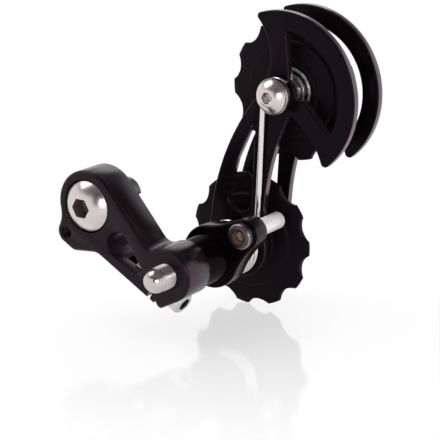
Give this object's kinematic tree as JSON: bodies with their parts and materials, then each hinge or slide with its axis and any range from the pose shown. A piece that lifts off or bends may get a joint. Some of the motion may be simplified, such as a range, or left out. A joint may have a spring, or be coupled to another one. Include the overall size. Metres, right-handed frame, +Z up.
{
  "type": "bicycle chain tensioner",
  "caption": "Sprung bicycle chain tensioner: a black alloy bracket clamps a steel shaft that carries a swinging two-plate cage with toothed pulleys, a stop arm and a coil spring.",
  "frame": {"origin": "on the hanger bolt axis, in the plane of the seat that meets the frame's hanger", "axes": "+Y along the hanger bolt towards the wheel, +X towards the front of the bicycle, +Z up"},
  "size_m": [0.0876, 0.0707, 0.1021],
  "materials": {
    "black_alloy": "satin black anodised",
    "gloss_black_alloy": "gloss black anodised",
    "pulley_alloy": "satin black anodised",
    "polished_steel": "polished stainless steel",
    "spring_steel": "drawn spring wire",
    "dark_steel": "blackened steel",
    "plain_steel": "turned steel",
    "bearing_steel": "ground steel",
    "shield_rubber": "moulded seal",
    "bush_bronze": "sintered bronze",
    "sleeve_plastic": "black nylon"
  },
  "bodies": {
    "bracket": {"bracket_arm": "black_alloy", "hanger_bolt": "polished_steel", "pinch_screw": "polished_steel"},
    "shaft": {"pivot_shaft": "polished_steel", "rear_washer": "plain_steel", "rear_screw": "dark_steel", "lower_bearing_inner_race": "bearing_steel", "lower_front_spacer": "plain_steel", "lower_rear_spacer": "plain_steel"},
    "stop_arm": {"stop_arm": "gloss_black_alloy", "stop_post": "polished_steel", "stop_post_bolt": "dark_steel", "spring_sleeve": "sleeve_plastic", "torsion_spring": "spring_steel"},
    "cage": {"cage_front_plate": "black_alloy", "cage_rear_plate": "black_alloy", "front_bush": "bush_bronze", "rear_bush": "bush_bronze", "upper_pulley_bolt": "polished_steel", "upper_front_spacer": "plain_steel", "upper_rear_spacer": "plain_steel", "upper_bearing_inner_race": "bearing_steel"},
    "upper_pulley": {"upper_pulley": "pulley_alloy", "upper_bearing_outer_race": "bearing_steel", "upper_bearing_balls": "bearing_steel", "upper_bearing_shields": "shield_rubber"},
    "lower_pulley": {"lower_pulley": "pulley_alloy", "lower_bearing_outer_race": "bearing_steel", "lower_bearing_balls": "bearing_steel", "lower_bearing_shields": "shield_rubber"}
  },
  "joints": [
    {"name": "chainline_slide", "type": "slide", "parent": "bracket", "child": "shaft", "axis": [0, 1, 0], "range_m": [0, 0.005]},
    {"name": "preload_turn", "type": "hinge", "parent": "shaft", "child": "stop_arm", "pos_m": [0.03152, 0, -0.01718], "axis": [0, 1, 0], "range_deg": [-60, 60]},
    {"name": "cage_pivot", "type": "hinge", "parent": "stop_arm", "child": "cage", "pos_m": [0.03152, 0, -0.01718], "axis": [0, 1, 0], "range_deg": [-100, 0], "stiffness_Nm_per_rad": 0.25, "springref_deg": 126.05, "deforming": ["torsion_spring"]},
    {"name": "upper_pulley_spin", "type": "hinge", "parent": "cage", "child": "upper_pulley", "pos_m": [0.04782, 0, 0.03562], "axis": [0, 1, 0], "continuous": true},
    {"name": "lower_pulley_spin", "type": "hinge", "parent": "shaft", "child": "lower_pulley", "pos_m": [0.03152, 0, -0.01718], "axis": [0, 1, 0], "continuous": true}
  ]
}
